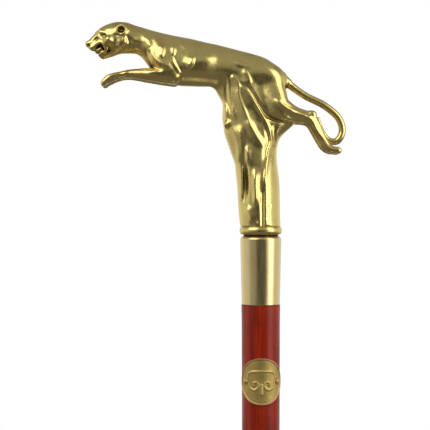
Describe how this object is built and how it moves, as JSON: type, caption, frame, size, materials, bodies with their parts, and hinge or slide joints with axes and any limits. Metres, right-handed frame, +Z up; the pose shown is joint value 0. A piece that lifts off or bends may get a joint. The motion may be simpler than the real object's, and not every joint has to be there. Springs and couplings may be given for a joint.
{
  "type": "walking stick with figural handle",
  "caption": "Take-apart walking stick: a leaping big cat in cast brass as the handle, a brass collar, a lacquered hardwood shaft with a medallion, and a rubber tip.",
  "frame": {"origin": "centre of the rubber tip's underside, where the stick stands on the floor", "axes": "+Z up along the shaft; the cat leaps towards -X; its left flank and the medallion face -Y"},
  "size_m": [0.1409, 0.028, 0.9138],
  "materials": {
    "brass_cast": "polished, with dark patina in the hollows",
    "brass_turned": "satin, turned",
    "brass_plate": "aged",
    "steel": "turned",
    "leather": "waxed",
    "wood_lacquer": "red lacquer over hardwood, glossy",
    "rubber": "moulded, matt"
  },
  "bodies": {
    "handle": {"cat_casting": "brass_cast", "tail": "brass_cast", "bead_ring": "brass_cast", "handle_stud": "steel"},
    "handle_washer": {"handle_joint_washer": "leather"},
    "upper_section": {"collar": "brass_turned", "collar_insert": "brass_turned", "upper_shaft": "wood_lacquer", "medallion": "brass_plate", "medallion_pin_left": "brass_plate", "medallion_pin_right": "brass_plate", "upper_joint_ferrule": "brass_turned", "shaft_joint_stud": "steel"},
    "shaft_washer": {"shaft_joint_washer": "leather"},
    "lower_section": {"lower_joint_ferrule": "brass_turned", "shaft_joint_insert": "brass_turned", "lower_shaft": "wood_lacquer", "tip_ferrule": "brass_turned", "tip_tack": "brass_plate"},
    "tip": {"rubber_tip": "rubber", "tip_washer": "steel"}
  },
  "joints": [
    {"name": "handle_travel", "type": "slide", "parent": "handle", "child": "handle_washer", "axis": [0, 0, -1], "range_m": [0, 0.015]},
    {"name": "handle_unscrew", "type": "hinge", "parent": "handle_washer", "child": "upper_section", "pos_m": [0, 0, 0.799], "axis": [0, 0, -1], "range_deg": [0, 3610]},
    {"name": "shaft_travel", "type": "slide", "parent": "upper_section", "child": "shaft_washer", "axis": [0, 0, -1], "range_m": [0, 0.015]},
    {"name": "shaft_unscrew", "type": "hinge", "parent": "shaft_washer", "child": "lower_section", "pos_m": [0, 0, 0.4], "axis": [0, 0, -1], "range_deg": [0, 3610]},
    {"name": "tip_pull", "type": "slide", "parent": "lower_section", "child": "tip", "axis": [0, 0, -1], "range_m": [0, 0.026]}
  ],
  "couplings": [
    {"joint": "handle_unscrew", "follows": "handle_travel", "rad_per_m": 4188.8},
    {"joint": "shaft_unscrew", "follows": "shaft_travel", "rad_per_m": 4188.8}
  ]
}
